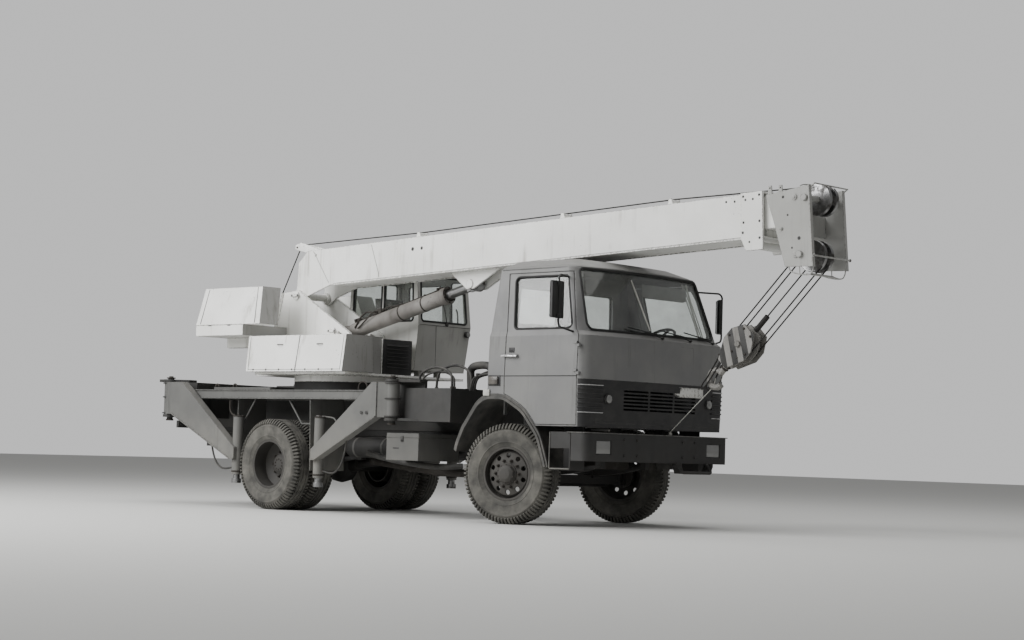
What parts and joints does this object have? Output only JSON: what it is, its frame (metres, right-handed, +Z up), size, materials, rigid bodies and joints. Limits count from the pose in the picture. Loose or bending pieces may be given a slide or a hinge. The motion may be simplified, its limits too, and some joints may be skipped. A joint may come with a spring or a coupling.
{
  "type": "mobile crane",
  "caption": "Two-axle truck crane with a slewing superstructure, telescopic boom, operator's cab, hook block and swing-out outriggers.",
  "frame": {"origin": "on the ground under the middle of the overall length, on the centre plane", "axes": "+X forward, +Y to the left, +Z up"},
  "size_m": [9.887, 3.03, 3.7079],
  "materials": {
    "cab_paint": "faded enamel, dusty",
    "pale_paint": "old pale enamel with chips and stains",
    "grey_paint": "dull grey enamel",
    "head_paint": "mid grey enamel",
    "dark_paint": "dark chassis paint, dirty",
    "grille_plastic": "dark moulded plastic",
    "rim_paint": "dusty dark paint",
    "tyre": "dusty tyre rubber",
    "window_glass": "clear glass",
    "lamp_glass": "ribbed lamp glass",
    "steel": "worn bare steel",
    "rusty_steel": "rusty, greasy steel",
    "trim_plastic": "dark trim",
    "seat_cover": "dark imitation leather",
    "mirror_case": "black plastic"
  },
  "bodies": {
    "chassis": {"frame_rails": "dark_paint", "axle_front": "dark_paint", "axle_rear": "dark_paint", "engine": "rusty_steel", "front_bumper": "dark_paint", "headlamps": "lamp_glass", "cab_shell": "cab_paint", "cab_glass": "window_glass", "grille": "grille_plastic", "cab_seats": "seat_cover", "dashboard": "trim_plastic", "front_arches": "trim_plastic", "deck": "grey_paint", "outrigger_beams": "grey_paint", "side_boxes": "grey_paint", "slew_base": "dark_paint"},
    "superstructure": {"slew_frame": "pale_paint", "casings": "pale_paint", "counterweight": "pale_paint", "operator_cab": "pale_paint", "operator_glass": "window_glass", "operator_seat": "seat_cover"},
    "operator_door": {"operator_door": "pale_paint", "operator_door_glass": "window_glass"},
    "boom": {"boom_outer": "pale_paint"},
    "boom_extension": {"boom_inner": "pale_paint", "boom_head": "head_paint"},
    "sheaves_top": {"sheaves_top": "steel"},
    "sheaves_low": {"sheaves_low": "steel"},
    "winch_drum": {"winch_drum": "rusty_steel"},
    "track_rod": {"tie_rod": "dark_paint"},
    "lift_barrel": {"lift_barrel": "rusty_steel"},
    "lift_rod": {"lift_rod": "steel"},
    "hook": {"hook_block": "rusty_steel", "hoist_falls": "steel"},
    "cab_door_right": {"door_right": "cab_paint", "door_right_glass": "window_glass", "mirror_right": "mirror_case"},
    "knuckle_right": {"knuckle_right": "dark_paint"},
    "front_wheel_right": {"tyre_front_right": "tyre", "rim_front_right": "rim_paint"},
    "rear_wheels_right": {"tyres_rear_right": "tyre", "rims_rear_right": "rim_paint"},
    "arm_front_right": {"arm_front_right": "grey_paint"},
    "jack_front_right": {"jack_front_right": "steel"},
    "arm_rear_right": {"arm_rear_right": "grey_paint"},
    "jack_rear_right": {"jack_rear_right": "steel"},
    "cab_door_left": {"door_left": "cab_paint", "door_left_glass": "window_glass", "mirror_left": "mirror_case"},
    "knuckle_left": {"knuckle_left": "dark_paint"},
    "front_wheel_left": {"tyre_front_left": "tyre", "rim_front_left": "rim_paint"},
    "rear_wheels_left": {"tyres_rear_left": "tyre", "rims_rear_left": "rim_paint"},
    "arm_front_left": {"arm_front_left": "grey_paint"},
    "jack_front_left": {"jack_front_left": "steel"},
    "arm_rear_left": {"arm_rear_left": "grey_paint"},
    "jack_rear_left": {"jack_rear_left": "steel"}
  },
  "joints": [
    {"name": "steer_right", "type": "hinge", "parent": "chassis", "child": "knuckle_right", "pos_m": [1.35053, -0.855, 0.561], "axis": [0, 0, 1], "range_deg": [-45.5, 18.5]},
    {"name": "roll_front_right", "type": "hinge", "parent": "knuckle_right", "child": "front_wheel_right", "pos_m": [1.38812, -1.01155, 0.561], "axis": [-0.2334, 0.9724, 0], "continuous": true},
    {"name": "roll_rear_right", "type": "hinge", "parent": "chassis", "child": "rear_wheels_right", "pos_m": [-2.56347, -1.107, 0.561], "axis": [0, 1, 0], "continuous": true},
    {"name": "cab_door_right", "type": "hinge", "parent": "chassis", "child": "cab_door_right", "pos_m": [2.52053, -1.26, 1.6], "axis": [0, 0, 1], "range_deg": [0, 70]},
    {"name": "swing_arm_front_right", "type": "hinge", "parent": "chassis", "child": "arm_front_right", "pos_m": [-0.50347, -1.1, 1.37], "axis": [0, 0, 1], "range_deg": [0, 90]},
    {"name": "lower_jack_front_right", "type": "slide", "parent": "arm_front_right", "child": "jack_front_right", "axis": [0, 0, -1], "range_m": [0, 0.45]},
    {"name": "swing_arm_rear_right", "type": "hinge", "parent": "chassis", "child": "arm_rear_right", "pos_m": [-4.77347, -1.1, 1.37], "axis": [0, 0, 1], "range_deg": [-90, 0]},
    {"name": "lower_jack_rear_right", "type": "slide", "parent": "arm_rear_right", "child": "jack_rear_right", "axis": [0, 0, -1], "range_m": [0, 0.45]},
    {"name": "steer_left", "type": "hinge", "parent": "chassis", "child": "knuckle_left", "pos_m": [1.35053, 0.855, 0.561], "axis": [0, 0, 1], "range_deg": [-45.5, 18.5]},
    {"name": "roll_front_left", "type": "hinge", "parent": "knuckle_left", "child": "front_wheel_left", "pos_m": [1.31295, 1.01155, 0.561], "axis": [-0.2334, 0.9724, 0], "continuous": true},
    {"name": "roll_rear_left", "type": "hinge", "parent": "chassis", "child": "rear_wheels_left", "pos_m": [-2.56347, 1.107, 0.561], "axis": [0, 1, 0], "continuous": true},
    {"name": "cab_door_left", "type": "hinge", "parent": "chassis", "child": "cab_door_left", "pos_m": [2.52053, 1.26, 1.6], "axis": [0, 0, 1], "range_deg": [-70, 0]},
    {"name": "swing_arm_front_left", "type": "hinge", "parent": "chassis", "child": "arm_front_left", "pos_m": [-0.50347, 1.1, 1.37], "axis": [0, 0, 1], "range_deg": [-90, 0]},
    {"name": "lower_jack_front_left", "type": "slide", "parent": "arm_front_left", "child": "jack_front_left", "axis": [0, 0, -1], "range_m": [0, 0.45]},
    {"name": "swing_arm_rear_left", "type": "hinge", "parent": "chassis", "child": "arm_rear_left", "pos_m": [-4.77347, 1.1, 1.37], "axis": [0, 0, 1], "range_deg": [0, 90]},
    {"name": "lower_jack_rear_left", "type": "slide", "parent": "arm_rear_left", "child": "jack_rear_left", "axis": [0, 0, -1], "range_m": [0, 0.45]},
    {"name": "track_rod", "type": "hinge", "parent": "knuckle_right", "child": "track_rod", "pos_m": [1.20468, -0.89002, 0.44], "axis": [0, 0, 1], "range_deg": [-18.5, 45.5]},
    {"name": "winch", "type": "hinge", "parent": "superstructure", "child": "winch_drum", "pos_m": [-3.94347, 0, 2.56], "axis": [0, 1, 0], "continuous": true},
    {"name": "slew", "type": "hinge", "parent": "chassis", "child": "superstructure", "pos_m": [-2.40347, 0, 1.64], "axis": [0, 0, 1], "continuous": true},
    {"name": "operator_door", "type": "hinge", "parent": "superstructure", "child": "operator_door", "pos_m": [-1.97597, 1.258, 2.4], "axis": [0, 0, 1], "range_deg": [-90, 0]},
    {"name": "luff", "type": "hinge", "parent": "superstructure", "child": "boom", "pos_m": [-3.23362, 0, 2.74983], "axis": [0, -1, 0], "range_deg": [0, 62]},
    {"name": "telescope", "type": "slide", "parent": "boom", "child": "boom_extension", "axis": [0.9991, 0, 0.0415], "range_m": [0, 6]},
    {"name": "lift_barrel", "type": "hinge", "parent": "superstructure", "child": "lift_barrel", "pos_m": [-2.49347, 0, 2.274], "axis": [0, -1, 0], "range_deg": [0, 65.74]},
    {"name": "lift_rod", "type": "slide", "parent": "lift_barrel", "child": "lift_rod", "axis": [0.9718, 0, 0.2358], "range_m": [0, 0.901]},
    {"name": "hook_swing", "type": "hinge", "parent": "boom_extension", "child": "hook", "pos_m": [4.72903, 0, 2.94767], "axis": [0, -1, 0], "range_deg": [-22, 45]},
    {"name": "sheaves_top", "type": "hinge", "parent": "boom_extension", "child": "sheaves_top", "pos_m": [4.77547, 0, 3.54011], "axis": [0, 1, 0], "continuous": true},
    {"name": "sheaves_low", "type": "hinge", "parent": "boom_extension", "child": "sheaves_low", "pos_m": [4.72903, 0, 2.94767], "axis": [0, 1, 0], "continuous": true}
  ],
  "couplings": [
    {"joint": "steer_left", "follows": "steer_right", "ratio": 1},
    {"joint": "track_rod", "follows": "steer_right", "ratio": -1},
    {"joint": "lift_barrel", "follows": "luff", "ratio": 1.0571},
    {"joint": "lift_rod", "follows": "luff", "m_per_rad": 0.82302}
  ]
}
